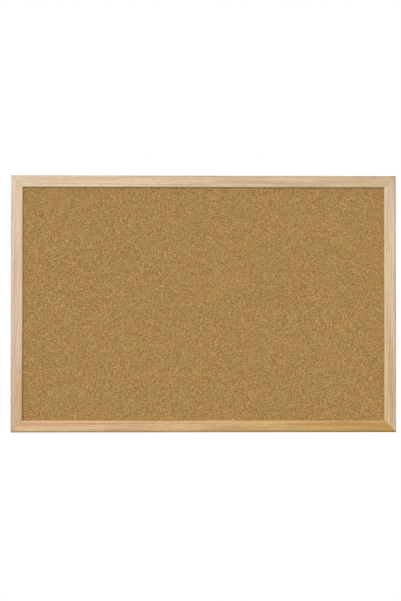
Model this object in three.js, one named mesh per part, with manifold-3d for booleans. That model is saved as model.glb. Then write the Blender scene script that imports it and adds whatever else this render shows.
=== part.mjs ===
// Cork notice board, landscape, in a mitred pine frame, with D-ring hangers on its back.
// Millimetres. X runs across the board, Z runs up, and the cork faces -Y.
// The origin is the middle of the board on the wall plane, which the rear bumpers touch.

import * as THREE from 'three';
import { mergeVertices } from 'three/addons/utils/BufferGeometryUtils.js';
import Module from 'manifold-3d';

const wasm = await Module();
wasm.setup();

// The board, over the outer edges of its rails
const boardWidth = 600;
const boardHeight = 400;

// Rail moulding: its front face, its depth, and the rebate that holds the panel
const railFace = 18.5;
const railDepth = 16;
const rebateWidth = 6;
const lipDepth = 3.5;
const outerArrisRadius = 4;
const innerArrisRadius = 2;
const backEase = 0.5;
const glueLine = 0.1;

// Panel: three sheets in the rebate, with paste or air between their faces
const corkThickness = 2;
const coreThickness = 7;
const backingThickness = 1;
const sheetFilm = 0.1;
const panelPlay = 1;

// Framer's points: flat steel tongues in the rebate wall that keep the panel forward
const pointWidth = 6;
const pointLength = 15;
const pointThickness = 0.5;
const pointGrip = 7;
const pointTaper = 3;
const pointTailRadius = 1.5;
const pointPlay = 0.15;
const pointMargin = 75;
const pointCountAcross = 5;
const pointCountUp = 3;

// V-nails: bent steel strip, driven from the back across each mitre
const nailLeg = 4;
const nailFlare = 0.5;
const nailThickness = 0.5;
const nailDepth = 10;
const nailSink = 0.2;
const nailPlay = 0.15;
const nailBendShare = 0.75;
const nailApexShares = { outer: 0.43, inner: 0.87 };

// Hanger strap: sheet steel folded double round the ring, with a rounded end
const strapWidth = 8;
const strapLength = 18;
const strapThickness = 0.8;
const strapSlit = 0.15;
const strapBendRadius = 1;
const strapHole = 3.6;
const hangerDrop = 45;
const hangerInset = 7.5;

// Hanger ring: a D of steel wire, its straight bar turning in the strap's fold
const wireDiameter = 1.8;
const ringPlay = 0.15;
const ringHalfWidth = 6;
const ringSide = 3;
const ringCorner = 1.8;
const ringButt = 0.4;
const ringRestGap = 0.3;

// Hanger screw: pan head, cross recess
const screwDiameter = 3;
const screwLength = 12;
const screwTip = 4;
const screwDrop = 13.5;
const headDiameter = 6;
const headHeight = 1.6;
const headCrown = 1;
const recessSpan = 3.2;
const recessFloor = 1.4;
const recessWidth = 0.7;
const recessDepth = 0.9;
const pilotPlay = 0.15;

// Bumpers: soft round pads on the bottom rail that meet the wall
const bumperDiameter = 10;
const bumperHeight = 4;
const bumperRound = 1;
const bumperMargin = 30;

// How far a cutting shape runs past the face that it opens
const overrun = 1;

// Steps in a quarter turn of the moulding, and round the small turned and bent pieces
const arrisSteps = 6;
const turnSteps = 28;
const bendSteps = 6;
const wireSides = 10;
const ringSteps = 48;

// Levels, counted from the wall plane towards the viewer, who stands at -Y
const frameBack = -bumperHeight;
const frameFront = frameBack - railDepth;
const lipPlane = frameFront + lipDepth;

const backWidth = railFace - rebateWidth;
const quarterTurn = Math.PI / 2;

const board = new THREE.Group();

// The four sides. Each side's group is turned so that its rail, in that group's frame, is on top.
const sides = [
  { name: 'top', turns: 0, length: boardWidth, reach: boardHeight / 2, pointCount: pointCountAcross },
  { name: 'right', turns: 1, length: boardHeight, reach: boardWidth / 2, pointCount: pointCountUp },
  { name: 'bottom', turns: 2, length: boardWidth, reach: boardHeight / 2, pointCount: pointCountAcross },
  { name: 'left', turns: 3, length: boardHeight, reach: boardWidth / 2, pointCount: pointCountUp },
];

// Rails, and the seats that the fasteners cut into them
const rails = [];
const seats = [];

function finish(color, roughness, metalness) {
  return new THREE.MeshStandardMaterial({ color, roughness, metalness });
}

const finishes = {
  pine: () => finish(0xdcc09a, 0.55, 0),
  cork: () => finish(0xa8844f, 0.9, 0),
  softboard: () => finish(0x8b6f4c, 0.95, 0),
  greyboard: () => finish(0x9c9488, 0.9, 0),
  zincPlate: () => finish(0xc4c6c8, 0.35, 1),
  steel: () => finish(0x8f9296, 0.4, 1),
  rubber: () => finish(0x2b2b2b, 0.8, 0),
};

function addPiece(parent, name, geometry, material) {
  const mesh = new THREE.Mesh(geometry, material);
  mesh.name = name;
  parent.add(mesh);
  return mesh;
}

// A seat is the space that a fastener needs in the wood. It is given in the fastener's own frame.
function addSeat(mesh, geometry) {
  seats.push({ mesh, geometry });
}

function solidOf(geometry) {
  const bare = new THREE.BufferGeometry();
  const flat = geometry.index ? geometry.toNonIndexed() : geometry;
  bare.setAttribute('position', flat.getAttribute('position').clone());
  const merged = mergeVertices(bare);
  return new wasm.Manifold(new wasm.Mesh({
    numProp: 3,
    vertProperties: merged.getAttribute('position').array,
    triVerts: new Uint32Array(merged.index.array),
  }));
}

function geometryOf(solid) {
  const mesh = solid.getMesh();
  const geometry = new THREE.BufferGeometry();
  const corners = new Float32Array(mesh.vertProperties);
  geometry.setAttribute('position', new THREE.BufferAttribute(corners, 3));
  geometry.setIndex(new THREE.BufferAttribute(new Uint32Array(mesh.triVerts), 1));
  geometry.computeVertexNormals();
  return geometry;
}

// A plate lies in the XZ plane, its outline drawn as seen from the front, and is thick towards -Y
function plate(outline, thickness) {
  const geometry = new THREE.ExtrudeGeometry(outline, {
    depth: thickness,
    bevelEnabled: false,
    curveSegments: bendSteps,
  });
  return geometry.rotateX(quarterTurn);
}

// An outline that follows a path with half the thickness on each side, its corners kept sharp
function stripOutline(path, thickness) {
  const half = thickness / 2;
  const sideOf = (sign) => path.map((spot, i) => {
    const before = path[i - 1];
    const after = path[i + 1];
    const arriving = spot.clone().sub(before ?? spot).normalize();
    const leaving = (after ?? spot).clone().sub(spot).normalize();
    const heading = arriving.clone().add(leaving).normalize();
    const widen = 1 / heading.dot(before ? arriving : leaving);
    return new THREE.Vector2(-heading.y, heading.x).multiplyScalar(sign * half * widen).add(spot);
  });
  return new THREE.Shape([...sideOf(1), ...sideOf(-1).reverse()]);
}

// Points along an arc, without its first point
function arcPoints(centre, radius, from, to) {
  const steps = Math.ceil(Math.abs(to - from) / quarterTurn * bendSteps);
  return Array.from({ length: steps }, (_, i) => {
    const angle = from + (to - from) * (i + 1) / steps;
    return new THREE.Vector2(Math.cos(angle), Math.sin(angle)).multiplyScalar(radius).add(centre);
  });
}

// The moulding's section: X is the way in from the outer edge, Y the way forward from the rail's back
function railSection() {
  const section = new THREE.Shape();
  section.moveTo(backEase, 0);
  section.lineTo(backWidth, 0);
  section.lineTo(backWidth, railDepth - lipDepth);
  section.lineTo(railFace, railDepth - lipDepth);
  section.lineTo(railFace, railDepth - innerArrisRadius);
  section.absarc(railFace - innerArrisRadius, railDepth - innerArrisRadius, innerArrisRadius, 0, quarterTurn);
  section.lineTo(outerArrisRadius, railDepth);
  section.absarc(outerArrisRadius, railDepth - outerArrisRadius, outerArrisRadius, quarterTurn, Math.PI);
  section.lineTo(0, backEase);
  section.closePath();
  return section;
}

// A rail in its own frame: outer edge at z = 0, back at y = 0, and each end cut back at 45 degrees
function mitredRail(length) {
  const geometry = new THREE.ExtrudeGeometry(railSection(), {
    depth: length,
    bevelEnabled: false,
    curveSegments: arrisSteps,
  });
  const inward = new THREE.Vector3(0, 0, -1);
  const forward = new THREE.Vector3(0, -1, 0);
  const along = new THREE.Vector3(-1, 0, 0);
  geometry.translate(0, 0, -length / 2);
  geometry.applyMatrix4(new THREE.Matrix4().makeBasis(inward, forward, along));

  const corners = geometry.getAttribute('position');
  for (let i = 0; i < corners.count; i++) {
    const halfLength = length / 2 + corners.getZ(i) - glueLine / Math.SQRT2;
    corners.setX(i, Math.sign(corners.getX(i)) * halfLength);
  }
  return geometry;
}

// Point outline: driven end towards +Z, z = 0 at the rebate wall, and a round-cornered tail on the panel
function pointOutline(play) {
  const half = pointWidth / 2 + play;
  const tip = pointGrip + play;
  const shoulder = pointGrip - pointTaper;
  const tail = pointGrip - pointLength - play;
  const outline = new THREE.Shape();
  outline.moveTo(0, tip);
  outline.lineTo(-half, shoulder);
  outline.lineTo(-half, tail + pointTailRadius);
  outline.absarc(-half + pointTailRadius, tail + pointTailRadius, pointTailRadius, Math.PI, 3 * quarterTurn);
  outline.lineTo(half - pointTailRadius, tail);
  outline.absarc(half - pointTailRadius, tail + pointTailRadius, pointTailRadius, -quarterTurn, 0);
  outline.lineTo(half, shoulder);
  outline.closePath();
  return outline;
}

function addPoints(side, group, level) {
  const seat = plate(pointOutline(pointPlay), pointThickness + 2 * pointPlay);
  seat.translate(0, pointPlay, 0);
  const run = side.length / 2 - pointMargin;
  for (let i = 0; i < side.pointCount; i++) {
    const share = i / (side.pointCount - 1);
    const geometry = plate(pointOutline(0), pointThickness);
    const point = addPiece(group, `${side.name}_point_${i + 1}`, geometry, finishes.steel());
    point.position.set(-run + 2 * run * share, level, side.reach - backWidth);
    addSeat(point, seat);
  }
}

// V-nail outline: the point of the V faces the sight edge, and one leg runs into each rail
function nailOutline(thickness, longer) {
  const leg = nailLeg + longer;
  const bend = nailLeg * nailBendShare;
  const path = [
    new THREE.Vector2(-nailFlare, leg),
    new THREE.Vector2(0, bend),
    new THREE.Vector2(0, 0),
    new THREE.Vector2(bend, 0),
    new THREE.Vector2(leg, -nailFlare),
  ];
  return stripOutline(path, thickness);
}

// The two nails of the mitre at the right-hand end of a side
function addNails(side, next, group) {
  const seatDepth = nailSink + nailDepth + nailPlay;
  const seat = plate(nailOutline(nailThickness + 2 * nailPlay, nailPlay), seatDepth + overrun);
  seat.translate(0, nailSink + overrun, 0);
  const corner = side.turns % 2 ? `${next.name}_${side.name}` : `${side.name}_${next.name}`;
  for (const [place, share] of Object.entries(nailApexShares)) {
    const inset = backWidth * share;
    const geometry = plate(nailOutline(nailThickness, 0), nailDepth);
    const nail = addPiece(group, `${corner}_nail_${place}`, geometry, finishes.steel());
    nail.position.set(side.length / 2 - inset, frameBack - nailSink, side.reach - inset);
    addSeat(nail, seat);
  }
}

// The sheets stand in the rebate one behind the other, the cork against the lip
function addPanel() {
  const inset = 2 * (backWidth + panelPlay);
  const layers = [
    { name: 'cork_sheet', thickness: corkThickness, material: finishes.cork() },
    { name: 'fibre_core', thickness: coreThickness, material: finishes.softboard() },
    { name: 'backing_sheet', thickness: backingThickness, material: finishes.greyboard() },
  ];
  let level = lipPlane;
  for (const layer of layers) {
    level += sheetFilm;
    const geometry = new THREE.BoxGeometry(boardWidth - inset, layer.thickness, boardHeight - inset);
    const sheet = addPiece(board, layer.name, geometry, layer.material);
    sheet.position.y = level + layer.thickness / 2;
    level += layer.thickness;
  }
  return level;
}

// Strap in its own frame: ring axis at z = 0, the rail's back at y = 0, and the screwed end towards -Z
const wireRadius = wireDiameter / 2;
const foldRadius = wireRadius + ringPlay + strapThickness / 2;
const axisHeight = foldRadius + strapThickness / 2;
const upperLayer = strapThickness * 3 / 2 + strapSlit;
const strapTop = upperLayer + strapThickness / 2;

// The strip's middle line: up the lower layer, round the ring's bar, and back over the lower layer
function strapPath() {
  const axis = new THREE.Vector2(0, axisHeight);
  const bendRise = upperLayer + strapBendRadius - axisHeight;
  const bendReach = Math.sqrt((foldRadius + strapBendRadius) ** 2 - bendRise ** 2);
  const bendCentre = new THREE.Vector2(-bendReach, axisHeight + bendRise);
  const turnBack = Math.PI - Math.atan2(bendRise, bendReach);
  return [
    new THREE.Vector2(-strapLength, strapThickness / 2),
    new THREE.Vector2(0, strapThickness / 2),
    ...arcPoints(axis, foldRadius, -quarterTurn, turnBack),
    ...arcPoints(bendCentre, strapBendRadius, turnBack - Math.PI, -quarterTurn),
    new THREE.Vector2(-strapLength, upperLayer),
  ];
}

function strapGeometry() {
  const folded = new THREE.ExtrudeGeometry(stripOutline(strapPath(), strapThickness), {
    depth: strapWidth,
    bevelEnabled: false,
  });
  const up = new THREE.Vector3(0, 0, 1);
  const out = new THREE.Vector3(0, 1, 0);
  const across = new THREE.Vector3(-1, 0, 0);
  folded.translate(0, 0, -strapWidth / 2);
  folded.applyMatrix4(new THREE.Matrix4().makeBasis(up, out, across));

  const endRadius = strapWidth / 2;
  const side = endRadius + overrun;
  const outline = new THREE.Shape();
  outline.moveTo(-side, axisHeight + overrun);
  outline.lineTo(-side, endRadius - strapLength);
  outline.lineTo(-endRadius, endRadius - strapLength);
  outline.absarc(0, endRadius - strapLength, endRadius, Math.PI, 2 * Math.PI);
  outline.lineTo(side, endRadius - strapLength);
  outline.lineTo(side, axisHeight + overrun);
  outline.closePath();
  const hole = new THREE.Path();
  hole.absarc(0, -screwDrop, strapHole / 2, 0, 2 * Math.PI, true);
  outline.holes.push(hole);
  const stamp = plate(outline, 2 * (axisHeight + overrun));
  stamp.translate(0, 2 * axisHeight + overrun, 0);
  return geometryOf(solidOf(folded).intersect(solidOf(stamp)));
}

// Ring in its own frame: the bar along X through the origin, and the bow towards +Z
function ringGeometry() {
  const corner = ringHalfWidth - ringCorner;
  const bowPoint = (angle) => new THREE.Vector3(
    ringHalfWidth * Math.cos(angle),
    0,
    ringSide + ringHalfWidth * Math.sin(angle),
  );
  const line = (x1, z1, x2, z2) => new THREE.LineCurve3(
    new THREE.Vector3(x1, 0, z1),
    new THREE.Vector3(x2, 0, z2),
  );
  const bend = (x1, z1, x2, z2) => new THREE.QuadraticBezierCurve3(
    new THREE.Vector3(x1, 0, z1),
    new THREE.Vector3(Math.sign(x1) * ringHalfWidth, 0, 0),
    new THREE.Vector3(x2, 0, z2),
  );
  const bow = new THREE.Curve();
  bow.getPoint = (t, target = new THREE.Vector3()) => target.copy(bowPoint(Math.PI * t));

  const path = new THREE.CurvePath();
  path.add(line(ringButt / 2, 0, corner, 0));
  path.add(bend(corner, 0, ringHalfWidth, ringCorner));
  path.add(line(ringHalfWidth, ringCorner, ringHalfWidth, ringSide));
  path.add(bow);
  path.add(line(-ringHalfWidth, ringSide, -ringHalfWidth, ringCorner));
  path.add(bend(-ringHalfWidth, ringCorner, -corner, 0));
  path.add(line(-corner, 0, -ringButt / 2, 0));

  const section = new THREE.Shape(Array.from({ length: wireSides }, (_, i) => {
    const angle = 2 * Math.PI * i / wireSides;
    return new THREE.Vector2(Math.cos(angle), Math.sin(angle)).multiplyScalar(wireRadius);
  }));
  return new THREE.ExtrudeGeometry(section, { steps: ringSteps, extrudePath: path });
}

// How far the ring leans onto the bare rail when it is turned up
const ringReach = ringSide + ringHalfWidth;
const ringLean = Math.asin((axisHeight - wireRadius - ringRestGap) / ringReach);

// Shank profile from the tip to where it reaches its full radius
function shankProfile(play) {
  const radius = screwDiameter / 2 + play;
  return [
    new THREE.Vector2(0, -screwLength - play),
    new THREE.Vector2(radius, screwTip - screwLength),
  ];
}

function screwGeometry() {
  const headRadius = headDiameter / 2;
  const crown = new THREE.Vector2(headRadius - headCrown, headHeight - headCrown);
  const profile = [
    ...shankProfile(0),
    new THREE.Vector2(screwDiameter / 2, 0),
    new THREE.Vector2(headRadius, 0),
    new THREE.Vector2(headRadius, headHeight - headCrown),
    ...arcPoints(crown, headCrown, 0, quarterTurn),
    new THREE.Vector2(0, headHeight),
  ];
  const turned = new THREE.LatheGeometry(profile, turnSteps);

  const wing = new THREE.Shape();
  wing.moveTo(-recessFloor / 2, headHeight - recessDepth);
  wing.lineTo(recessFloor / 2, headHeight - recessDepth);
  wing.lineTo(recessSpan / 2, headHeight);
  wing.lineTo(recessSpan / 2, headHeight + overrun);
  wing.lineTo(-recessSpan / 2, headHeight + overrun);
  wing.lineTo(-recessSpan / 2, headHeight);
  wing.closePath();
  let screw = solidOf(turned);
  for (const turns of [0, 1]) {
    const slot = new THREE.ExtrudeGeometry(wing, { depth: recessWidth, bevelEnabled: false });
    slot.translate(0, 0, -recessWidth / 2);
    slot.rotateY(turns * quarterTurn);
    screw = screw.subtract(solidOf(slot));
  }
  return geometryOf(screw);
}

function pilotGeometry() {
  const profile = [
    ...shankProfile(pilotPlay),
    new THREE.Vector2(screwDiameter / 2 + pilotPlay, overrun),
    new THREE.Vector2(0, overrun),
  ];
  return new THREE.LatheGeometry(profile, turnSteps);
}

// One hanger on the back of a side rail, at the upper end
function addHanger(name, sign) {
  const hanger = new THREE.Group();
  hanger.position.set(sign * (boardWidth / 2 - hangerInset), frameBack, boardHeight / 2 - hangerDrop);
  board.add(hanger);

  addPiece(hanger, `${name}_hanger_strap`, strapGeometry(), finishes.zincPlate());

  const ring = addPiece(hanger, `${name}_hanger_ring`, ringGeometry(), finishes.zincPlate());
  ring.position.y = axisHeight;
  ring.rotation.x = ringLean;

  const screw = addPiece(hanger, `${name}_hanger_screw`, screwGeometry(), finishes.zincPlate());
  screw.position.set(0, strapTop, -screwDrop);
  addSeat(screw, pilotGeometry());
}

// One bumper on the back of the bottom rail, near its corner
function addBumper(name, sign) {
  const radius = bumperDiameter / 2;
  const shoulder = new THREE.Vector2(radius - bumperRound, bumperHeight - bumperRound);
  const profile = [
    new THREE.Vector2(0, 0),
    new THREE.Vector2(radius, 0),
    new THREE.Vector2(radius, bumperHeight - bumperRound),
    ...arcPoints(shoulder, bumperRound, 0, quarterTurn),
    new THREE.Vector2(0, bumperHeight),
  ];
  const geometry = new THREE.LatheGeometry(profile, turnSteps);
  const bumper = addPiece(board, `${name}_bumper`, geometry, finishes.rubber());
  const level = (backWidth + backEase) / 2 - boardHeight / 2;
  bumper.position.set(sign * (boardWidth / 2 - bumperMargin), frameBack, level);
}

// Each rail loses the seats of the fasteners that reach into it
function cutSeats() {
  board.updateMatrixWorld(true);
  for (const rail of rails) {
    const toRail = rail.matrixWorld.clone().invert();
    let solid = solidOf(rail.geometry);
    for (const seat of seats) {
      const place = toRail.clone().multiply(seat.mesh.matrixWorld);
      solid = solid.subtract(solidOf(seat.geometry.clone().applyMatrix4(place)));
    }
    rail.geometry = geometryOf(solid);
  }
}

const panelBack = addPanel();

for (const [i, side] of sides.entries()) {
  const group = new THREE.Group();
  group.rotation.y = side.turns * quarterTurn;
  board.add(group);
  const rail = addPiece(group, `${side.name}_rail`, mitredRail(side.length), finishes.pine());
  rail.position.set(0, frameBack, side.reach);
  rails.push(rail);
  addPoints(side, group, panelBack + sheetFilm + pointThickness);
  addNails(side, sides[(i + 1) % sides.length], group);
}

for (const [name, sign] of [['left', -1], ['right', 1]]) {
  addHanger(name, sign);
  addBumper(name, sign);
}

cutSeats();

export default board;
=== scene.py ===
import math

import bmesh
import bpy
from mathutils import Matrix, Vector, noise


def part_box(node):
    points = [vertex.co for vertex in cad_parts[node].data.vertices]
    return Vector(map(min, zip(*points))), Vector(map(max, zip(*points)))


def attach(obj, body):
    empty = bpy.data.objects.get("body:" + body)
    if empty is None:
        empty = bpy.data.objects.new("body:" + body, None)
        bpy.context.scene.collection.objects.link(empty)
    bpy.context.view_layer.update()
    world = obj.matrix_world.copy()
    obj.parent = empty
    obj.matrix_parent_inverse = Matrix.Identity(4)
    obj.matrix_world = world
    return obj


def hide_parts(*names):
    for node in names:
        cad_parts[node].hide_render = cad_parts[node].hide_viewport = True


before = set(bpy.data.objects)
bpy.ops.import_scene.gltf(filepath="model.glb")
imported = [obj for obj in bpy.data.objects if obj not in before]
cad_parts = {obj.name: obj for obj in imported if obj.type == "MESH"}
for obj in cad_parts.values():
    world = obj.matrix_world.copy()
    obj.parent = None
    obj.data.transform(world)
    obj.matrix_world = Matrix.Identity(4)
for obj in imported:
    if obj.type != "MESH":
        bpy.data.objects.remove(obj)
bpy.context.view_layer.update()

MM = 0.001
QUARTER = math.pi / 2

# Camera, as the photograph was taken: almost straight on, a little left of the board's middle
CAMERA_PLACE = (-33.4 * MM, -1800 * MM, -14.0 * MM)
CAMERA_TILT = math.radians(0.617)
CAMERA_ROLL = math.radians(-0.032)
CAMERA_TURN = math.radians(-0.903)
CAMERA_LENS = 68.6

# Light: a soft sky, and even soft lights, each (where it comes from, its strength, its spread)
SKY_LEVEL = 0.4
LIGHT_DISTANCE = 3.0
LIGHTS = {
    "key": ((-0.36, -0.85, 0.38), 2.1, math.radians(20)),
    "graze": ((-0.75, -0.08, 0.66), 0.7, math.radians(20)),
    "side_fill": ((1.0, -0.12, 0.15), 0.8, math.radians(60)),
    "rear": ((0.35, 0.8, 0.45), 2.1, math.radians(30)),
}

# Floor: it keeps the shadow under and before the board, and fades to the photograph's white further out
FLOOR_LEVEL = -0.6
FLOOR_HALF_WIDTH = 3.0
FLOOR_CELLS = 12
FLOOR_MIDDLE = (0, -0.55, 0)
FLOOR_SQUEEZE = (0.7, 1, 0)
FLOOR_CLEAR = 0.75
FLOOR_WHITE = 1.05
FLOOR_BOUNCE = 0.35

# Rail moulding
OUTER_ARRIS = 4.0 * MM
INNER_ARRIS = 2.0 * MM
BACK_EASE = 0.5 * MM
REBATE_EASE = 0.3 * MM
REBATE_CORNER = 0.15 * MM
MITRE_EASE = 0.12 * MM
GLUE_LINE = 0.1 * MM
REBATE_WIDTH = 6.0 * MM
LIP_DEPTH = 3.5 * MM
RAIL_STATION = 3.0 * MM

# Planer's marks on the rails: how deep, and how many to a metre along and across the rail
PLANER_WAVE = 0.04 * MM
PLANER_WAVES_ALONG = 45
PLANER_WAVES_ACROSS = 160

# Grain of the wood: how many waves a pattern has to a metre, (along the grain, across it)
GRAIN = {
    "wander": (4, 30),
    "clouds": (7, 110),
    "patches": (9, 90),
    "fibres": (36, 2600),
    "streaks": (75, 620),
    "dashes": (90, 4200),
}
RING_WANDER = 6.0 * MM
RING_VARIETY = 1.6
RING_VARIETY_WAVES = 130
GRAIN_RELIEF = 0.06 * MM
GLUE_CORE = 0.15 * MM
GLUE_REACH = 0.75 * MM
GLUE_GAP_WAVES = 160

# Sheets, with their waves counted to a metre
SHEET_EASE = 0.2 * MM
CORK_GRID = 2.0 * MM
CORK_RELIEF = 0.05 * MM
CORK_FINE_WAVES = 610
CORK_SLOW_WAVES = 45
CORK_GRANULE = 0.8 * MM
CORK_CRUMB = 0.5 * MM
CORK_WARP = 1.6 * MM
CORK_WARP_WAVES = 420
CORK_BATCH_WAVES = 38
CORK_MOTTLE_WAVES = 2600
CORK_PITS = 0.12 * MM
BOARD_GRID = 8.0 * MM
BOARD_RELIEF = 0.04 * MM
BOARD_WAVES = 30
BOARD_MOTTLE_WAVES = 240
FIBRE_STRETCH = (0.12, 0.4, 1)
FIBRE_TURN = math.radians(47)
FIRST_FIBRE_TURN = 0.3
FIBRE_RELIEF = 0.05 * MM
FIBRE_RELIEF_WAVES = 900

# Fine grain of the metal and rubber, with its waves counted to a metre
PLATING_WAVES = 350
SCRATCH_WAVES = (900, 2600)
SCRATCH_DEPTH = 0.02 * MM
RUBBER_WAVES = 1800
RUBBER_RELIEF = 0.05 * MM

# Edges that stay sharp in the shading, and edges of points and nails that are eased
SHARP_ANGLE = math.radians(32)
FASTENER_EDGE = math.radians(40)
FASTENER_EASE = 0.08 * MM

# Seats of all that reaches into the wood
SEAT_PLAY = 0.15 * MM
WELD_REACH = SEAT_PLAY / 100
OVERRUN = 1.0 * MM

# Hangers
STRAP_THICKNESS = 0.8 * MM
STRAP_SLIT = 0.15 * MM
STRAP_BEND = 1.0 * MM
STRAP_HOLE = 3.6 * MM
STRAP_EASE = 0.15 * MM
STRAP_END_STEPS = 12
STRAP_END_START = 0.6
WIRE_RADIUS = 0.9 * MM
RING_PLAY = 0.15 * MM
RING_HALF_WIDTH = 6.0 * MM
RING_SIDE = 3.0 * MM
RING_CORNER = 1.8 * MM
RING_BUTT = 0.4 * MM
RING_REST_GAP = 0.3 * MM
WIRE_EASE = 0.12 * MM
SCREW_RADIUS = 1.5 * MM
SCREW_ROOT_SHARE = 0.68
SCREW_PITCH = 1.35 * MM
SCREW_CREST_SLOPE = 1.8
SCREW_TIP = 4.0 * MM
SHANK_STEPS = 96
SHANK_START = 0.2
SCREW_TURNS = {"left": 0.4, "right": 1.1}
HEAD_HEIGHT = 1.6 * MM
HEAD_CROWN = 1.0 * MM
RECESS_SPAN = 3.2 * MM
RECESS_FLOOR = 1.4 * MM
RECESS_WIDTH = 0.7 * MM
RECESS_DEPTH = 0.9 * MM

# Bumpers
BUMPER_ROUND = 1.0 * MM
BUMPER_FOOT = 0.3 * MM

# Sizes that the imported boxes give
rail_low, rail_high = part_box("top_rail")
side_low, side_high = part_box("right_rail")
strap_low, strap_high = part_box("left_hanger_strap")
head_low, head_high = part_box("left_hanger_screw")
BOARD_WIDTH = rail_high.x - rail_low.x
BOARD_HEIGHT = side_high.z - side_low.z
RAIL_FACE = rail_high.z - rail_low.z
RAIL_DEPTH = rail_high.y - rail_low.y
RAIL_BACK = rail_high.y
BACK_WIDTH = RAIL_FACE - REBATE_WIDTH
STRAP_WIDTH = strap_high.x - strap_low.x
HEAD_RADIUS = (head_high.x - head_low.x) / 2


def srgb(red, green, blue):
    """A colour written as 0 to 255 screen values, as the linear value that Blender takes."""
    def linear(c):
        c /= 255
        return c / 12.92 if c <= 0.04045 else ((c + 0.055) / 1.055) ** 2.4
    return (linear(red), linear(green), linear(blue), 1.0)


def grey(level):
    return (level, level, level, 1.0)


# Camera, light and floor

def add_camera():
    data = bpy.data.cameras.new("camera")
    data.lens = CAMERA_LENS
    camera = bpy.data.objects.new("camera", data)
    camera.location = CAMERA_PLACE
    camera.rotation_euler = (QUARTER + CAMERA_TILT, CAMERA_ROLL, CAMERA_TURN)
    bpy.context.scene.collection.objects.link(camera)
    bpy.context.scene.camera = camera
    bpy.context.scene.view_settings.view_transform = "Standard"


def add_light(name, come_from, strength, spread):
    """A light that reaches every part of the board alike, softened by its spread."""
    data = bpy.data.lights.new(name, "SUN")
    data.energy = strength
    data.angle = spread
    light = bpy.data.objects.new(name, data)
    light.location = Vector(come_from) * LIGHT_DISTANCE
    light.rotation_euler = (-Vector(come_from)).to_track_quat("-Z", "Y").to_euler()
    bpy.context.scene.collection.objects.link(light)


def seen_directly(tree):
    """1 for a ray from the camera, a gloss or glass, and 0 for the rays that carry plain light."""
    path = tree.nodes.new("ShaderNodeLightPath")
    seen = path.outputs["Is Camera Ray"]
    for ray in ("Is Glossy Ray", "Is Transmission Ray"):
        either = tree.nodes.new("ShaderNodeMath")
        either.operation = "MAXIMUM"
        tree.links.new(seen, either.inputs[0])
        tree.links.new(path.outputs[ray], either.inputs[1])
        seen = either.outputs[0]
    return seen


def add_world():
    """White where the camera, a gloss or glass looks at it, and a plain soft light for the rest."""
    world = bpy.data.worlds.new("studio")
    bpy.context.scene.world = world
    world.use_nodes = True
    tree = world.node_tree
    tree.nodes.clear()
    white = tree.nodes.new("ShaderNodeBackground")
    soft = tree.nodes.new("ShaderNodeBackground")
    soft.inputs["Strength"].default_value = SKY_LEVEL
    mix = tree.nodes.new("ShaderNodeMixShader")
    output = tree.nodes.new("ShaderNodeOutputWorld")
    tree.links.new(seen_directly(tree), mix.inputs[0])
    for background, socket in ((soft, 1), (white, 2)):
        background.inputs["Color"].default_value = grey(1.0)
        tree.links.new(background.outputs[0], mix.inputs[socket])
    tree.links.new(mix.outputs[0], output.inputs["Surface"])


def add_floor():
    """A pale floor that keeps the shadow under the board, fades to white, and throws little light back up."""
    f = Finish("studio_floor", Roughness=0.9)
    seen = seen_directly(f.tree)
    f.set(Base_Color=f.mix(seen, grey(FLOOR_BOUNCE), srgb(238, 237, 235)))
    spot = f.vector("SUBTRACT", f.place, FLOOR_MIDDLE)
    far = f.vector("LENGTH", f.vector("MULTIPLY", spot, FLOOR_SQUEEZE))
    white = f.times(f.span(far, FLOOR_CLEAR, FLOOR_WHITE, smooth=True), seen)
    glow = f.node("ShaderNodeEmission", {"Color": grey(1.0), "Strength": 1.0})
    mix = f.node("ShaderNodeMixShader", {0: white, 1: f.shader.outputs[0], 2: glow.outputs[0]})
    f.tree.links.new(mix.outputs[0], f.tree.nodes["Material Output"].inputs["Surface"])

    mesh = bmesh.new()
    bmesh.ops.create_grid(mesh, x_segments=FLOOR_CELLS, y_segments=FLOOR_CELLS, size=FLOOR_HALF_WIDTH)
    floor = make_object("floor", mesh, f.material)
    floor.location.z = FLOOR_LEVEL


# Node graphs

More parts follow.
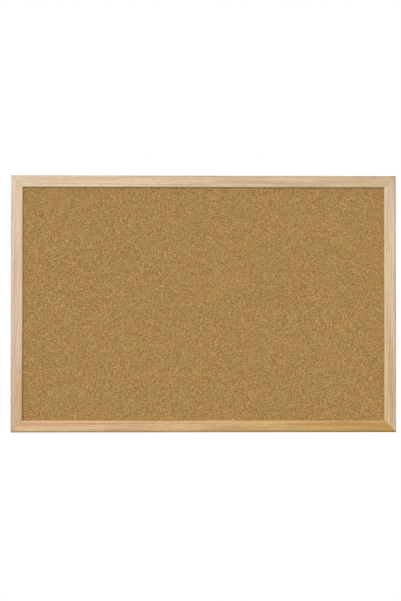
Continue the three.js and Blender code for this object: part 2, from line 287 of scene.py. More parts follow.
class Finish:
    """A Principled material with short calls for the nodes that feed it."""

    def __init__(self, name, **uniform):
        self.material = bpy.data.materials.new(name)
        self.material.use_nodes = True
        self.tree = self.material.node_tree
        self.shader = self.tree.nodes["Principled BSDF"]
        for socket, value in uniform.items():
            self.shader.inputs[socket.replace("_", " ")].default_value = value
        self.place = self.node("ShaderNodeTexCoord").outputs["Object"]

    def put(self, value, socket):
        if isinstance(value, bpy.types.NodeSocket):
            self.tree.links.new(value, socket)
        else:
            socket.default_value = value

    def node(self, kind, inputs=None, **settings):
        made = self.tree.nodes.new(kind)
        for name, value in settings.items():
            setattr(made, name, value)
        for key, value in (inputs or {}).items():
            self.put(value, made.inputs[key])
        return made

    def math(self, operation, *values):
        return self.node("ShaderNodeMath", dict(enumerate(values)), operation=operation).outputs[0]

    def times(self, first, second):
        return self.math("MULTIPLY", first, second)

    def plus(self, value, part, share):
        """The value, with a share of the part added."""
        return self.math("ADD", value, self.times(part, share))

    def sway(self, value, pattern, reach):
        """The value, moved to and fro over the reach by a pattern that runs from 0 to 1."""
        return self.plus(value, self.math("SUBTRACT", pattern, 0.5), reach)

    def vector(self, operation, *values):
        made = self.node("ShaderNodeVectorMath", dict(enumerate(values)), operation=operation)
        return made.outputs["Value" if operation == "LENGTH" else "Vector"]

    def stretch(self, place, scale, shift=(0, 0, 0)):
        """The place scaled along each axis, so that a pattern of unit size gets real sizes."""
        return self.vector("ADD", self.vector("MULTIPLY", place, scale), shift)

    def noise(self, place, scale=1.0, detail=2.0, roughness=0.5, color=False):
        made = self.node("ShaderNodeTexNoise", {
            "Vector": place, "Scale": scale, "Detail": detail, "Roughness": roughness})
        return made.outputs["Color" if color else "Fac"]

    def cells(self, place, size, feature="F1"):
        return self.node("ShaderNodeTexVoronoi", {"Vector": place, "Scale": 1 / size}, feature=feature)

    def axes(self, vector):
        return self.node("ShaderNodeSeparateXYZ", {0: vector}).outputs

    def span(self, value, low, high, to_low=0.0, to_high=1.0, smooth=False):
        """The value's run from low to high as a run from to_low to to_high, held beyond both ends."""
        made = self.node("ShaderNodeMapRange", {
            "Value": value, "From Min": low, "From Max": high, "To Min": to_low, "To Max": to_high})
        made.interpolation_type = "SMOOTHSTEP" if smooth else "LINEAR"
        return made.outputs["Result"]

    def mix(self, share, first, second, blend="MIX"):
        made = self.node("ShaderNodeMix", data_type="RGBA", blend_type=blend)
        self.put(share, made.inputs[0])
        self.put(first, made.inputs[6])
        self.put(second, made.inputs[7])
        return made.outputs[2]

    def tint(self, share, color, tone):
        """The colour, multiplied by the tone where share is 1."""
        return self.mix(share, color, tone, "MULTIPLY")

    def ramp(self, value, stops):
        made = self.node("ShaderNodeValToRGB", {"Fac": value})
        elements = made.color_ramp.elements
        while len(elements) < len(stops):
            elements.new(0.5)
        for element, (at, color) in zip(elements, stops):
            element.position = at
            element.color = color
        return made.outputs["Color"]

    def curve(self, value, stops):
        """The value as a grey level, by a curve of (value, level)."""
        return self.ramp(value, [(at, grey(level)) for at, level in stops])

    def bump(self, height, distance, strength):
        inputs = {"Height": height, "Distance": distance, "Strength": strength}
        return self.node("ShaderNodeBump", inputs).outputs["Normal"]

    def set(self, **sockets):
        for name, value in sockets.items():
            self.put(value, self.shader.inputs[name.replace("_", " ")])
        return self.material


# Materials

# Tints and stains of the pine, and the painted shade of its outer edge
LATEWOOD = srgb(204, 174, 152)
BLUSH = srgb(243, 220, 213)
RESIN = srgb(184, 142, 102)
# A paler greyish tone for a band beside the outer edge
PALE_BAND = srgb(215, 210, 195)
# Painted shade that darkens the outermost rim of the rails
RIM_SHADE = srgb(232, 231, 228)
GLUE = srgb(150, 118, 84)


def grain(f, pattern, shift=(0, 0, 0), **settings):
    """Noise drawn out along the rail, with the pattern's waves along and across it."""
    lengthwise, crosswise = GRAIN[pattern]
    return f.noise(f.stretch(f.place, (lengthwise, crosswise, crosswise), shift), **settings)


def growth_rings(f, along, pith, ring_pitch, run_out, contrast, seed):
    """The share of latewood, in rings round a pith that lies beside the rail, along its length.

    run_out is how far the rings drift across the rail over its length: (steadily, towards the -X end).
    contrast is how strong the latewood is at the -X and +X ends."""
    steady, sweep = run_out
    radius = f.vector("LENGTH", f.vector("SUBTRACT", f.vector("MULTIPLY", f.place, (0, 1, 1)), (0, *pith)))
    radius = f.plus(radius, along, steady)
    near_end = f.math("POWER", f.math("SUBTRACT", 1.0, along), 3.0)
    radius = f.plus(radius, near_end, sweep)
    radius = f.sway(radius, grain(f, "wander", (seed, seed / 3, 0), detail=3), RING_WANDER)
    variety = f.node("ShaderNodeCombineXYZ", {0: f.times(radius, RING_VARIETY_WAVES), 1: seed})
    rings = f.plus(f.math("DIVIDE", radius, ring_pitch), f.noise(variety.outputs[0]), RING_VARIETY)
    late = f.curve(f.math("FRACT", rings), [
        (0.0, 0.1), (0.06, 0.0), (0.55, 0.06), (0.84, 0.5), (0.93, 1.0), (0.97, 0.9), (1.0, 0.1)])
    share = f.span(along, 0.0, 1.0, *contrast)
    patchy = f.span(grain(f, "patches", (0, seed, 2), detail=1), 0.3, 0.7, 0.45, 1.0)
    return f.times(late, f.times(share, patchy))


def blushed(f, color, cloud, middle, half_size, strength):
    """The colour with a redder patch that has a ragged edge."""
    patch = f.vector("DIVIDE", f.vector("SUBTRACT", f.place, middle), half_size)
    ragged = f.sway(f.vector("LENGTH", patch), cloud, 0.9)
    return f.tint(f.span(ragged, 0.5, 1.1, strength, 0.0, smooth=True), color, BLUSH)


def fibrous(f, color, fibre, seed):
    """The colour with fine fibres, broader streaks, and short dashes of resin."""
    color = f.tint(1.0, color, f.curve(fibre, [(0.25, 0.8), (0.5, 1.0), (0.75, 1.14)]))
    streak = grain(f, "streaks", (2, seed, 0), detail=5, roughness=0.7)
    color = f.tint(1.0, color, f.curve(streak, [(0.25, 0.79), (0.5, 1.0), (0.75, 1.15)]))
    dash = f.span(grain(f, "dashes", (4, 0, seed), detail=1), 0.66, 0.76, 0.0, 0.5)
    return f.tint(dash, color, RESIN)


def inner_strip_and_painted_light(f, color, cloud, along, face, ends):
    """The colour with a strip along the inner edge, which has a (colour, share) at each end. Where pale it is
    a sapwood tone that also paints a highlight along the edge, and where dark it is painted shade.
    """
    tones, shares = zip(*ends)
    frayed = f.sway(face, cloud, 0.12)
    # Painted highlight and painted shade, by the strip's colour at each end
    strip = f.times(f.span(frayed, 0.13, 0.2, 1.0, 0.0), f.span(along, 0.0, 1.0, *shares))
    return f.mix(strip, color, f.mix(along, *tones))


def outer_edge_shade(f, color, along, face, tints, paleness):
    """The colour with painted shade along the outer edge, greyed by the tints over its outer band and darker
    at the rim, and a paler band beside it.
    """
    _, y, _ = f.axes(f.place)
    front = f.span(y, OUTER_ARRIS / 3 - RAIL_DEPTH, OUTER_ARRIS * 1.5 - RAIL_DEPTH, 1.0, 0.1, smooth=True)
    # Painted shade: the rail's tints grey the outer band of the front
    edge_shade = f.times(f.curve(face, [(0.76, 0.0), (0.9, 0.9), (1.0, 1.0)]), front)
    color = f.tint(edge_shade, color, f.mix(along, *tints))
    # A paler band beside the outer edge
    pale_band = f.times(f.curve(face, [(0.68, 0.0), (0.8, 1.0), (0.86, 0.9), (0.94, 0.0)]), front)
    color = f.mix(f.times(pale_band, paleness), color, PALE_BAND)
    # Painted shade: darker right at the rim
    rim_shade = f.times(f.curve(face, [(0.9, 0.0), (0.97, 0.8), (1.0, 1.0)]), front)
    return f.tint(rim_shade, color, RIM_SHADE)


def glued_mitres(f, color, length, seed):
    """The colour with a line of dried glue along both mitres, fainter in places."""
    x, _, z = f.axes(f.place)
    mitre = f.math("SUBTRACT", f.math("ADD", z, length / 2), f.math("ABSOLUTE", x))
    glue = f.span(mitre, GLUE_CORE, GLUE_REACH, 0.4, 0.0, smooth=True)
    gaps = f.noise(f.stretch(f.place, (0, 0, GLUE_GAP_WAVES), (seed, 3, 0)), detail=2)
    return f.mix(f.times(glue, f.span(gaps, 0.42, 0.58, 0.25, 1.0)), color, GLUE)


def pine(name, length, tones, rings, inner, outer, paleness, blush, seed):
    """Planed pine in a rail's own frame.

    Pairs belong to the rail's -X and +X ends: tones are the early wood's colours, inner the (colour, share)
    of a strip along the inner edge, a sapwood tone and painted highlight where pale and painted shade where
    dark, and outer the tints of painted shade along the outer edge. paleness is how much paler the band
    beside that edge is."""
    f = Finish(name, Specular_IOR_Level=0.3)
    x, _, z = f.axes(f.place)
    along = f.span(x, -length / 2, length / 2)
    face = f.span(z, -RAIL_FACE, 0.0)
    cloud = grain(f, "clouds", (seed, 5, 1), detail=2)
    fibre = grain(f, "fibres", detail=4, roughness=0.7)
    late = growth_rings(f, along, seed=seed, **rings)

    color = f.mix(along, *tones)
    color = f.tint(f.span(cloud, 0.35, 0.75, 0.0, 0.45, smooth=True), color, LATEWOOD)
    color = f.tint(late, color, LATEWOOD)
    color = blushed(f, color, cloud, **blush)
    color = fibrous(f, color, fibre, seed)
    # A strip along the inner edge: sapwood tone with painted highlight, and painted shade at its dark ends
    color = inner_strip_and_painted_light(f, color, cloud, along, face, inner)
    # Painted shade along the outer edge, with a paler band beside it
    color = outer_edge_shade(f, color, along, face, outer, paleness)
    color = glued_mitres(f, color, length, seed)

    height = f.math("SUBTRACT", f.times(fibre, 0.7), f.times(late, 0.5))
    return f.set(
        Base_Color=color,
        Roughness=f.span(fibre, 0.2, 0.8, 0.62, 0.48),
        Normal=f.bump(height, GRAIN_RELIEF, strength=0.6))


def cork():
    """Pressed cork: granules of many tans, a few of dark bark, with thin dark joints between them."""
    f = Finish("pressed_cork", Specular_IOR_Level=0.2)
    flat = f.vector("MULTIPLY", f.place, (1, 0, 1))
    warp = f.vector("SUBTRACT", f.noise(flat, CORK_WARP_WAVES, color=True), (0.5, 0.5, 0.5))
    spot = f.vector("ADD", flat, f.vector("MULTIPLY", warp, (CORK_WARP, 0, CORK_WARP)))
    tone, hue, _ = f.axes(f.cells(spot, CORK_GRANULE).outputs["Color"])
    crumb_tone, speck, _ = f.axes(f.cells(spot, CORK_CRUMB).outputs["Color"])
    joint = f.cells(spot, CORK_GRANULE, feature="DISTANCE_TO_EDGE").outputs["Distance"]
    batch = f.noise(flat, CORK_BATCH_WAVES, detail=3, roughness=0.6)
    mottle = f.noise(flat, CORK_MOTTLE_WAVES, detail=3)

    color = f.ramp(f.plus(f.times(tone, 0.45), crumb_tone, 0.55), [
        (0.16, srgb(109, 77, 34)), (0.34, srgb(151, 115, 61)), (0.5, srgb(175, 137, 78)),
        (0.66, srgb(195, 156, 93)), (0.84, srgb(232, 196, 135))])
    color = f.mix(f.span(hue, 0.6, 1.0, 0.0, 0.12), color, srgb(182, 128, 82))
    color = f.tint(1.0, color, f.mix(f.span(batch, 0.35, 0.65), srgb(255, 249, 246), srgb(249, 252, 244)))
    color = f.mix(f.span(speck, 0.93, 0.95, 0.0, 0.55), color, srgb(92, 62, 34))
    color = f.tint(1.0, color, f.curve(mottle, [(0.3, 0.84), (0.7, 1.12)]))
    color = f.mix(f.span(joint, 0.0, 0.1, 0.45, 0.0), color, srgb(104, 76, 40))

    dome = f.span(joint, 0.0, 0.3, smooth=True)
    return f.set(
        Base_Color=color,
        Roughness=f.span(mottle, 0.3, 0.7, 0.95, 0.8),
        Normal=f.bump(f.plus(dome, mottle, 0.5), CORK_PITS, strength=0.7))


def fibre_board(name, base, fleck, pale, fibre_width):
    """Pressed paper or wood fibre: a soft mottle with short dark and pale fibres lying all ways."""
    f = Finish(name, Specular_IOR_Level=0.15)
    mottle = f.noise(f.place, BOARD_MOTTLE_WAVES, detail=4, roughness=0.6)
    color = f.mix(f.span(mottle, 0.3, 0.7), f.mix(0.12, base, fleck), f.mix(0.12, base, pale))
    size = tuple(share / fibre_width for share in FIBRE_STRETCH)
    for layer, (ink, strength) in enumerate([(fleck, 0.5), (pale, 0.45), (fleck, 0.35), (pale, 0.4)]):
        angle = layer * FIBRE_TURN + FIRST_FIBRE_TURN
        swung = f.node("ShaderNodeVectorRotate", {"Vector": f.place, "Axis": (0, 1, 0), "Angle": angle})
        fibres = f.noise(f.stretch(swung.outputs[0], size, (layer, 0, 0)), detail=1)
        color = f.mix(f.span(fibres, 0.66, 0.72, 0.0, strength), color, ink)
    return f.set(
        Base_Color=color,
        Roughness=f.span(mottle, 0.3, 0.7, 0.95, 0.85),
        Normal=f.bump(f.noise(f.place, FIBRE_RELIEF_WAVES, detail=3), FIBRE_RELIEF, strength=0.5))


def bright_steel(name, base, tint, roughness, scratch_length):
    """Bare or plated steel: clouded plating, fine scratches and a slightly uneven gloss."""
    f = Finish(name, Metallic=1.0)
    cloud = f.noise(f.place, PLATING_WAVES, detail=3)
    scratch = f.noise(f.stretch(f.place, (1 / scratch_length, *SCRATCH_WAVES)), detail=3, roughness=0.7)
    return f.set(
        Base_Color=f.mix(f.span(cloud, 0.35, 0.7), base, tint),
        Roughness=f.span(cloud, 0.3, 0.7, roughness - 0.06, roughness + 0.08),
        Normal=f.bump(scratch, SCRATCH_DEPTH, strength=0.35))


def rubber():
    f = Finish("bumper_rubber", Specular_IOR_Level=0.35)
    speckle = f.noise(f.place, RUBBER_WAVES, detail=3)
    return f.set(
        Base_Color=f.mix(f.span(speckle, 0.3, 0.7), srgb(34, 34, 35), srgb(52, 51, 50)),
        Roughness=f.span(speckle, 0.3, 0.7, 0.62, 0.8),
        Normal=f.bump(speckle, RUBBER_RELIEF, strength=0.5))


# Mesh building

def skin(rings):
    """A closed mesh over rings of points: quads between neighbouring rings, and a face on each end."""
    mesh = bmesh.new()
    rows = [[mesh.verts.new(point) for point in ring] for ring in rings]
    for row, following in zip(rows, rows[1:]):
        for i in range(len(row)):
            j = (i + 1) % len(row)
            mesh.faces.new((row[i], row[j], following[j], following[i]))
    mesh.faces.new(rows[0])
    mesh.faces.new(rows[-1])
    bmesh.ops.recalc_face_normals(mesh, faces=mesh.faces)
    return mesh


def make_object(name, mesh, material=None):
    data = bpy.data.meshes.new(name)
    mesh.to_mesh(data)
    mesh.free()
    if material is not None:
        data.materials.append(material)
    made = bpy.data.objects.new(name, data)
    bpy.context.scene.collection.objects.link(made)
    return made


def carve(made, cutter):
    """Cuts the cutter out of the piece and deletes the cutter."""
    cut = made.modifiers.new("cut", "BOOLEAN")
    cut.operation = "DIFFERENCE"
    cut.solver = "EXACT"
    cut.object = cutter
    bpy.context.view_layer.update()
    seen = made.evaluated_get(bpy.context.evaluated_depsgraph_get())
    whole, made.data = made.data, bpy.data.meshes.new_from_object(seen)
    made.modifiers.clear()
    bpy.data.meshes.remove(whole)
    bpy.data.objects.remove(cutter)


def smooth(made):
    """Smooth shading between sharp edges, with the flat faces kept flat."""
    made.data.polygons.foreach_set("use_smooth", [True] * len(made.data.polygons))
    made.data.set_sharp_from_angle(angle=SHARP_ANGLE)
    flats = made.modifiers.new("flats", "WEIGHTED_NORMAL")
    flats.keep_sharp = True


def settle(made, body, slot, *nodes):
    """The finished piece rides on its body and stands for its nodes. slot is not used."""
    smooth(made)
    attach(made, body)
    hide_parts(*nodes)


def fillets(corners, steps):
    """An outline with square corners, each (across, up, radius), rounded by arcs."""
    points = []
    for i, (*corner, radius) in enumerate(corners):
        corner = Vector(corner)
        back = (Vector(corners[i - 1][:2]) - corner).normalized()
        ahead = (Vector(corners[(i + 1) % len(corners)][:2]) - corner).normalized()
        centre = corner + (back + ahead) * radius
        for step in range(steps + 1):
            turn = QUARTER * step / steps
            points.append(centre - ahead * radius * math.cos(turn) - back * radius * math.sin(turn))
    return points


def split_straights(points, longest):
    """The closed outline with its long edges split, so that no edge is longer than asked."""
    split = []
    for point, following in zip(points, points[1:] + points[:1]):
        parts = max(1, math.ceil((following - point).length / longest))
        split += [point.lerp(following, i / parts) for i in range(parts)]
    return split


def outward(points):
    """The outward direction at each point of an outline that runs anticlockwise."""
    runs = [points[(i + 1) % len(points)] - points[i - 1] for i in range(len(points))]
    return [Vector((run.y, -run.x)).normalized() for run in runs]


def arc(centre, radius, start, end, steps):
    """Points along an arc, both ends included."""
    turns = [start + (end - start) * i / steps for i in range(steps + 1)]
    return [Vector(centre) + radius * Vector((math.cos(turn), math.sin(turn))) for turn in turns]


def swept(path, across, section_at):
    """Rings of a section drawn along a path that lies in the plane square to across.

    section_at gives the ring's points at a place on the path, as (in the plane, along across)."""
    rings = []
    for i, spot in enumerate(path):
        heading = (path[min(i + 1, len(path) - 1)] - path[max(i - 1, 0)]).normalized()
        out = across.cross(heading)
        rings.append([spot + out * a + across * b for a, b in section_at(i)])
    return skin(rings)


def turned(profile, steps, shape=lambda radius, height, turn: radius):
    """A solid turned on Y over a profile of (radius, height), which shape can make uneven."""
    turns = [2 * math.pi * i / steps for i in range(steps)]
    return skin([
        [Vector((math.cos(turn), 0, math.sin(turn))) * shape(radius, height, turn) + Vector((0, height, 0))
         for turn in turns]
        for radius, height in profile])


def block(low_half, high_half, low, high, width):
    """A tapered block on Y, low_half and high_half being half its length along X at its two levels."""
    half = width / 2
    return skin([
        [(-reach, level, -half), (reach, level, -half), (reach, level, half), (-reach, level, half)]
        for reach, level in ((low_half, low), (high_half, high))])


# Rails

def rail_mesh(length):
    """A rail in its own frame: outer edge at z = 0, back at y = 0, and both ends mitred and eased."""
    outline = split_straights(fillets([
        (0, 0, BACK_EASE),
        (BACK_WIDTH, 0, REBATE_EASE),
        (BACK_WIDTH, RAIL_DEPTH - LIP_DEPTH, REBATE_CORNER),
        (RAIL_FACE, RAIL_DEPTH - LIP_DEPTH, REBATE_EASE),
        (RAIL_FACE, RAIL_DEPTH, INNER_ARRIS),
        (0, RAIL_DEPTH, OUTER_ARRIS),
    ], steps=8), RAIL_STATION)
    directions = outward(outline)
    face_start = RAIL_DEPTH - LIP_DEPTH + REBATE_EASE

    def ring(share, inset, setback):
        points = []
        for point, direction in zip(outline, directions):
            inward, forward = point - direction * inset
            x = share * (length / 2 - inward - GLUE_LINE / math.sqrt(2) - setback)
            if forward > face_start:
                wave = noise.noise((x * PLANER_WAVES_ALONG, inward * PLANER_WAVES_ACROSS, length))
                inward -= direction.x * wave * PLANER_WAVE
                forward -= direction.y * (wave + 1) * PLANER_WAVE / 2
            points.append((x, -forward, -inward))
        return points

    count = round(length / RAIL_STATION)
    middle = [ring(2 * i / count - 1, 0, MITRE_EASE) for i in range(count + 1)]
    return skin([ring(-1, MITRE_EASE, 0), *middle, ring(1, MITRE_EASE, 0)])


def fastener_seat(node):
    """The space that a point or a nail needs in the wood: its solid, grown by the play on every side."""
    seat = bmesh.new()
    seat.from_mesh(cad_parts[node].data)
    bmesh.ops.remove_doubles(seat, verts=seat.verts, dist=WELD_REACH)
    bmesh.ops.recalc_face_normals(seat, faces=seat.faces)
    seat.normal_update()
    top = max(vert.co.y for vert in seat.verts)
    open_above = [vert for vert in seat.verts if "_nail_" in node and vert.co.y > top - SEAT_PLAY]
    shifts = [vert.normal * vert.calc_shell_factor() * SEAT_PLAY for vert in seat.verts]
    for vert, shift in zip(seat.verts, shifts):
        vert.co += shift
    for vert in open_above:
        vert.co.y = RAIL_BACK + OVERRUN
    return seat


def pilot_hole(node):
    """The space that a screw needs in the wood, pointed as the screw is."""
    low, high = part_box(node)
    radius = SCREW_RADIUS + SEAT_PLAY
    profile = [
        (SEAT_PLAY, low.y - SEAT_PLAY),
        (radius, low.y + SCREW_TIP),
        (radius, RAIL_BACK + OVERRUN),
    ]
    hole = turned(profile, steps=24)
    bmesh.ops.translate(hole, verts=hole.verts, vec=((low.x + high.x) / 2, 0, (low.z + high.z) / 2))
    return hole


def add_seats():
    """One cutter for all that reaches into the wood."""
    seats = [fastener_seat(node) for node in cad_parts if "_point_" in node or "_nail_" in node]
    seats += [pilot_hole(f"{side}_hanger_screw") for side in ("left", "right")]
    joined = bmesh.new()
    for seat in seats:
        data = bpy.data.meshes.new("seat")
        seat.to_mesh(data)
        seat.free()
        joined.from_mesh(data)
        bpy.data.meshes.remove(data)
    return make_object("seats", joined)


def add_rail(name, turns, length, reach, **wood):
    """One side of the frame. Its own frame is turned about Y so that its outer edge faces outwards."""
    rail = make_object(f"{name}_moulding", rail_mesh(length), pine(f"{name}_pine", length, **wood))
    turn = Matrix.Rotation(turns * QUARTER, 4, "Y")
    rail.matrix_world = turn @ Matrix.Translation((0, RAIL_BACK, reach))
    carve(rail, add_seats())
    settle(rail, "board", "pine", f"{name}_rail")


# Each rail is a stick of its own, with its colours at its -X and +X ends as its outer edge faces up
# inner and outer hold painted light: the inner strip's pale and dark ends, and the outer edge's tints of
# painted shade
RAILS = {
    "top": dict(
        turns=0, length=BOARD_WIDTH, reach=BOARD_HEIGHT / 2, seed=3.1,
        tones=(srgb(232, 214, 183), srgb(206, 179, 140)),
        rings=dict(pith=(0.02, -0.09), ring_pitch=3.9 * MM, run_out=(6 * MM, 0), contrast=(0.35, 0.8)),
        inner=((srgb(238, 216, 176), 0.4), (srgb(204, 172, 122), 0.25)),
        outer=(srgb(240, 246, 252), srgb(228, 231, 228)), paleness=0.0,
        blush=dict(middle=(-0.125, -0.016, -0.009), half_size=(0.09, 1, 0.014), strength=0.35)),
    "right": dict(
        turns=1, length=BOARD_HEIGHT, reach=BOARD_WIDTH / 2, seed=7.7,
        tones=(srgb(217, 193, 165), srgb(222, 199, 157)),
        rings=dict(pith=(0.05, -0.11), ring_pitch=3.2 * MM, run_out=(9 * MM, 0), contrast=(0.25, 1.4)),
        inner=((srgb(240, 222, 190), 0.35), (srgb(188, 158, 108), 0.4)),
        outer=(srgb(239, 245, 247), srgb(228, 236, 235)), paleness=0.28,
        blush=dict(middle=(0.16, -0.016, -0.01), half_size=(0.08, 1, 0.008), strength=0.35)),
    "bottom": dict(
        turns=2, length=BOARD_WIDTH, reach=BOARD_HEIGHT / 2, seed=12.4,
        tones=(srgb(192, 155, 84), srgb(222, 189, 149)),
        rings=dict(pith=(0.03, 0.08), ring_pitch=4.4 * MM, run_out=(-5 * MM, 0), contrast=(0.45, 0.6)),
        inner=((srgb(204, 166, 98), 0.1), (srgb(240, 208, 164), 0.25)),
        outer=(srgb(232, 225, 192), srgb(242, 246, 244)), paleness=0.0,
        blush=dict(middle=(0.24, -0.016, -0.014), half_size=(0.09, 1, 0.005), strength=0.7)),
    "left": dict(
        turns=3, length=BOARD_HEIGHT, reach=BOARD_WIDTH / 2, seed=21.9,
        tones=(srgb(213, 182, 140), srgb(232, 211, 184)),
        rings=dict(pith=(0.03, -0.1), ring_pitch=4.2 * MM, run_out=(3 * MM, -28 * MM), contrast=(0.8, 0.3)),
        inner=((srgb(168, 134, 90), 0.4), (srgb(236, 214, 178), 0.25)),
        outer=(srgb(224, 236, 244), srgb(234, 246, 255)), paleness=0.28,
        blush=dict(middle=(0.1, -0.016, -0.008), half_size=(0.14, 1, 0.012), strength=0.3)),
}


# Panel

def sheet_mesh(low, high, facing, spacing, relief):
    """A sheet with eased edges, and a relief on the face that faces along Y as facing says.

    relief gives how deep the face lies at (x, z). The other face is plain."""
    seen, hidden = (low.y, high.y) if facing < 0 else (high.y, low.y)
    inward = math.copysign(1, hidden - seen)
    columns, rows = (
        [start + SHEET_EASE + (end - start - 2 * SHEET_EASE) * i / count for i in range(count + 1)]
        for start, end, count in (
            (low.x, high.x, round((high.x - low.x) / spacing)),
            (low.z, high.z, round((high.z - low.z) / spacing))))
    last_column, last_row = len(columns) - 1, len(rows) - 1

    mesh = bmesh.new()
    face = [[mesh.verts.new((x, seen + inward * relief(x, z), z)) for z in rows] for x in columns]
    for i in range(last_column):
        for j in range(last_row):
            mesh.faces.new((face[i][j], face[i + 1][j], face[i + 1][j + 1], face[i][j + 1]))

    border = [(i, 0) for i in range(last_column)]
    border += [(last_column, j) for j in range(last_row)]
    border += [(i, last_row) for i in range(last_column, 0, -1)]
    border += [(0, j) for j in range(last_row, 0, -1)]

    def loop(level, out):
        made = []
        for i, j in border:
            side = ((i == last_column) - (i == 0), (j == last_row) - (j == 0))
            made.append(mesh.verts.new((columns[i] + side[0] * out, level, rows[j] + side[1] * out)))
        return made

    loops = [
        [face[i][j] for i, j in border],
        loop(seen + inward * SHEET_EASE * 1.5, SHEET_EASE),
        loop(hidden - inward * SHEET_EASE, SHEET_EASE),
        loop(hidden, 0),
    ]
    for upper, lower in zip(loops, loops[1:]):
        for k in range(len(border)):
            n = (k + 1) % len(border)
            mesh.faces.new((upper[k], upper[n], lower[n], lower[k]))
    mesh.faces.new(loops[-1])
    bmesh.ops.recalc_face_normals(mesh, faces=mesh.faces)
    return mesh


def cork_relief(x, z):
    """The granules' own unevenness, with a slow roll of the sheet under it."""
    fine = noise.noise((x * CORK_FINE_WAVES, 0.3, z * CORK_FINE_WAVES))
    slow = noise.noise((x * CORK_SLOW_WAVES, 4.7, z * CORK_SLOW_WAVES))
    return CORK_RELIEF * min(1, max(0, 0.5 + 0.6 * fine + 0.25 * slow))


def board_relief(x, z):
    return BOARD_RELIEF * (0.5 + 0.5 * noise.noise((x * BOARD_WAVES, 8.1, z * BOARD_WAVES)))


def add_panel():
    """The three sheets in the frame, from the front: cork, softboard and grey board."""
    greyboard = fibre_board(
        "greyboard", base=srgb(150, 142, 130), fleck=srgb(104, 96, 86), pale=srgb(186, 180, 168),
        fibre_width=0.35 * MM)
    softboard = fibre_board(
        "softboard", base=srgb(140, 111, 77), fleck=srgb(100, 74, 46), pale=srgb(178, 150, 112),
        fibre_width=0.6 * MM)
    for name, node, slot, facing, spacing, relief, material in (
            ("cork_face", "cork_sheet", "cork", -1, CORK_GRID, cork_relief, cork()),
            ("softboard_core", "fibre_core", "softboard", -1, BOARD_GRID, board_relief, softboard),
            ("backing_board", "backing_sheet", "greyboard", 1, BOARD_GRID, board_relief, greyboard)):
        sheet = make_object(name, sheet_mesh(*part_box(node), facing, spacing, relief), material)
        settle(sheet, "board", slot, node)


# Points and nails

def dress_fasteners():
    """The points and nails keep their own shapes, with their edges eased."""
    point_steel = bright_steel(
        "point_steel", srgb(150, 153, 158), srgb(128, 130, 134), roughness=0.4, scratch_length=8 * MM)
    nail_steel = bright_steel(
        "nail_steel", srgb(136, 138, 142), srgb(112, 112, 114), roughness=0.45, scratch_length=5 * MM)
    for node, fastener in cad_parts.items():
        if "_point_" in node:
            material = point_steel
        elif "_nail_" in node:
            material = nail_steel
        else:
            continue
        weld = fastener.modifiers.new("weld", "WELD")
        weld.merge_threshold = WELD_REACH
        ease = fastener.modifiers.new("ease", "BEVEL")
        ease.width = FASTENER_EASE
        ease.segments = 2
        ease.limit_method = "ANGLE"
        ease.angle_limit = FASTENER_EDGE
        fastener.material_slots[0].link = "OBJECT"
        fastener.material_slots[0].material = material


# Hangers

def strap_mesh(length):
    """The strap in its own frame: ring axis over z = 0, rail's back at y = 0, screwed end towards -Z.

    The stations of its round end start a part of a step in, where the end already has a width."""
    fold = WIRE_RADIUS + RING_PLAY + STRAP_THICKNESS / 2
    axis_height = fold + STRAP_THICKNESS / 2
    upper = STRAP_THICKNESS * 3 / 2 + STRAP_SLIT
    rise = upper + STRAP_BEND - axis_height
    reach = math.sqrt((fold + STRAP_BEND) ** 2 - rise ** 2)
    turn_back = math.pi - math.atan2(rise, reach)
    end_radius = STRAP_WIDTH / 2
    end_turns = [QUARTER * (i + STRAP_END_START) / STRAP_END_STEPS for i in range(STRAP_END_STEPS)]
    end_places = [-length + end_radius * (1 - math.cos(turn)) for turn in end_turns]
    straight = [*end_places, -length + end_radius + STRAP_EASE]
    flat_path = [Vector((z, STRAP_THICKNESS / 2)) for z in straight]
    flat_path += arc((0, axis_height), fold, -QUARTER, turn_back, steps=30)
    flat_path += arc((-reach, axis_height + rise), STRAP_BEND, turn_back - math.pi, -QUARTER, steps=8)
    flat_path += [Vector((z, upper)) for z in reversed(straight)]
    path = [Vector((0, y, z)) for z, y in flat_path]

    def section_at(i):
        left = length + path[i].z
        half = end_radius if left > end_radius else math.sqrt(end_radius ** 2 - (end_radius - left) ** 2)
        thick = STRAP_THICKNESS / 2
        return fillets([
            (-thick, -half, STRAP_EASE), (thick, -half, STRAP_EASE),
            (thick, half, STRAP_EASE), (-thick, half, STRAP_EASE)], steps=3)

    return swept(path, Vector((1, 0, 0)), section_at)


def bezier(start, control, end, steps):
    """Points along a curve that leaves start and reaches end on lines through control."""
    shares = [i / steps for i in range(steps + 1)]
    return [start * (1 - t) ** 2 + control * 2 * t * (1 - t) + end * t ** 2 for t in shares]


def ring_mesh():
    """The D ring in its own frame: its bar along X through the origin, and its bow towards +Z."""
    corner_start = Vector((RING_HALF_WIDTH - RING_CORNER, 0))
    corner = Vector((RING_HALF_WIDTH, 0))
    corner_end = Vector((RING_HALF_WIDTH, RING_CORNER))
    half = [Vector((RING_BUTT / 2, 0)), Vector((RING_BUTT / 2 + WIRE_EASE, 0))]
    half += bezier(corner_start, corner, corner_end, steps=12)
    half += arc((0, RING_SIDE), RING_HALF_WIDTH, 0, QUARTER, steps=24)
    whole = half + [Vector((-x, z)) for x, z in reversed(half[:-1])]
    path = [Vector((x, 0, z)) for x, z in whole]

    def section_at(i):
        radius = WIRE_RADIUS - (WIRE_EASE if i in (0, len(path) - 1) else 0)
        return arc((0, 0), radius, 0, 2 * math.pi, steps=20)[:-1]

    return swept(path, Vector((0, 1, 0)), section_at)


def screw_thread(radius, height, turn):
    """A wood screw's thread: a sharp crest that climbs round a slimmer core, below the head."""
    if height >= -SCREW_PITCH:
        return radius
    climb = (height / SCREW_PITCH - turn / (2 * math.pi)) % 1
    crest = max(0, 1 - abs(2 * climb - 1) * SCREW_CREST_SLOPE)
    return radius * (SCREW_ROOT_SHARE + (1 - SCREW_ROOT_SHARE) * crest)


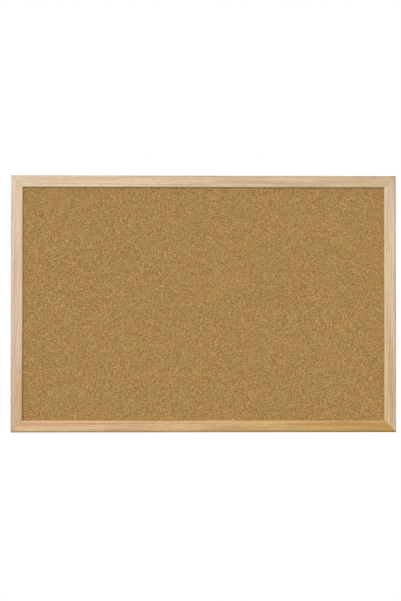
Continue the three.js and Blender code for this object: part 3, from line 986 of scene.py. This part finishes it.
def screw_mesh(length):
    """The screw in its own frame: its head's seat at y = 0, and its tip towards -Y.

    The levels of its shank start a part of a step in, where the tip already has a width."""
    def envelope(height):
        return SCREW_RADIUS * min(1, (height + length) / SCREW_TIP)

    levels = [-length * (1 - (i + SHANK_START) / SHANK_STEPS) for i in range(SHANK_STEPS)]
    shank = [(envelope(height), height) for height in levels]
    head = [(SCREW_RADIUS, 0), (HEAD_RADIUS - STRAP_EASE, 0), (HEAD_RADIUS, STRAP_EASE)]
    crown = arc((HEAD_RADIUS - HEAD_CROWN, HEAD_HEIGHT - HEAD_CROWN), HEAD_CROWN, 0, QUARTER, steps=10)
    return turned([*shank, *head, *crown, (HEAD_RADIUS / 4, HEAD_HEIGHT)], steps=40, shape=screw_thread)


def hanger_places(side):
    """Where a strap stands on the rail, how high over it the ring turns, and where the screw's head sits."""
    low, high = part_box(f"{side}_hanger_strap")
    screw_low, screw_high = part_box(f"{side}_hanger_screw")
    axis_height = (high.y - low.y) / 2
    place = Vector(((low.x + high.x) / 2, RAIL_BACK, high.z - axis_height))
    seat = Vector((place.x, screw_high.y - HEAD_HEIGHT, (screw_low.z + screw_high.z) / 2))
    return place, axis_height, seat


def add_strap(side, material):
    place, axis_height, seat = hanger_places(side)
    low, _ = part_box(f"{side}_hanger_strap")
    strap = make_object(f"{side}_strap", strap_mesh(place.z - low.z), material)
    strap.location = place
    through = [(STRAP_HOLE / 2, -axis_height), (STRAP_HOLE / 2, axis_height)]
    hole = make_object("hole", turned(through, steps=40))
    hole.location = seat
    carve(strap, hole)
    settle(strap, "board", "zinc_plate", f"{side}_hanger_strap")


def add_ring(side, material):
    """The ring, leaning back at rest until its bow almost reaches the rail."""
    place, axis_height, _ = hanger_places(side)
    ring = make_object(f"{side}_ring", ring_mesh(), material)
    ring.location = place + Vector((0, axis_height, 0))
    lean = (axis_height - WIRE_RADIUS - RING_REST_GAP) / (RING_SIDE + RING_HALF_WIDTH)
    ring.rotation_euler.x = math.asin(lean)
    settle(ring, f"{side}_ring", "zinc_plate", f"{side}_hanger_ring")


def add_screw(side, material):
    """The screw, with a recess of two crossed wings in its head."""
    _, _, seat = hanger_places(side)
    low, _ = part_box(f"{side}_hanger_screw")
    screw = make_object(f"{side}_screw", screw_mesh(seat.y - low.y), material)
    screw.location = seat
    screw.rotation_euler.y = SCREW_TURNS[side]
    for quarter in (0, 1):
        wing = block(
            low_half=RECESS_FLOOR / 2, high_half=RECESS_SPAN / 2,
            low=HEAD_HEIGHT - RECESS_DEPTH, high=HEAD_HEIGHT + OVERRUN, width=RECESS_WIDTH)
        bmesh.ops.rotate(wing, verts=wing.verts, matrix=Matrix.Rotation(quarter * QUARTER, 3, "Y"))
        cutter = make_object("wing", wing)
        cutter.matrix_world = Matrix.Translation(seat) @ Matrix.Rotation(screw.rotation_euler.y, 4, "Y")
        carve(screw, cutter)
    settle(screw, "board", "zinc_plate", f"{side}_hanger_screw")


# Bumpers

def add_bumper(side, material):
    low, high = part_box(f"{side}_bumper")
    radius = (high.x - low.x) / 2
    height = high.y - low.y
    foot = [(radius - BUMPER_FOOT, 0), (radius, BUMPER_FOOT)]
    dome = arc((radius - BUMPER_ROUND, height - BUMPER_ROUND), BUMPER_ROUND, 0, QUARTER, steps=10)
    top = [(radius / 2, height), (radius / 8, height)]
    bumper = make_object(f"{side}_pad", turned([*foot, *dome, *top], steps=64), material)
    bumper.location = ((low.x + high.x) / 2, low.y, (low.z + high.z) / 2)
    settle(bumper, "board", "bumper_rubber", f"{side}_bumper")


# The scene

add_camera()
for name, (come_from, strength, spread) in LIGHTS.items():
    add_light(name, come_from, strength, spread)
add_world()
add_floor()

for name, rail in RAILS.items():
    add_rail(name, **rail)
add_panel()
dress_fasteners()

zinc_plate = bright_steel(
    "zinc_plate", srgb(200, 202, 204), srgb(186, 190, 186), roughness=0.3, scratch_length=6 * MM)
bumper_rubber = rubber()
for side in ("left", "right"):
    add_strap(side, zinc_plate)
    add_ring(side, zinc_plate)
    add_screw(side, zinc_plate)
    add_bumper(side, bumper_rubber)
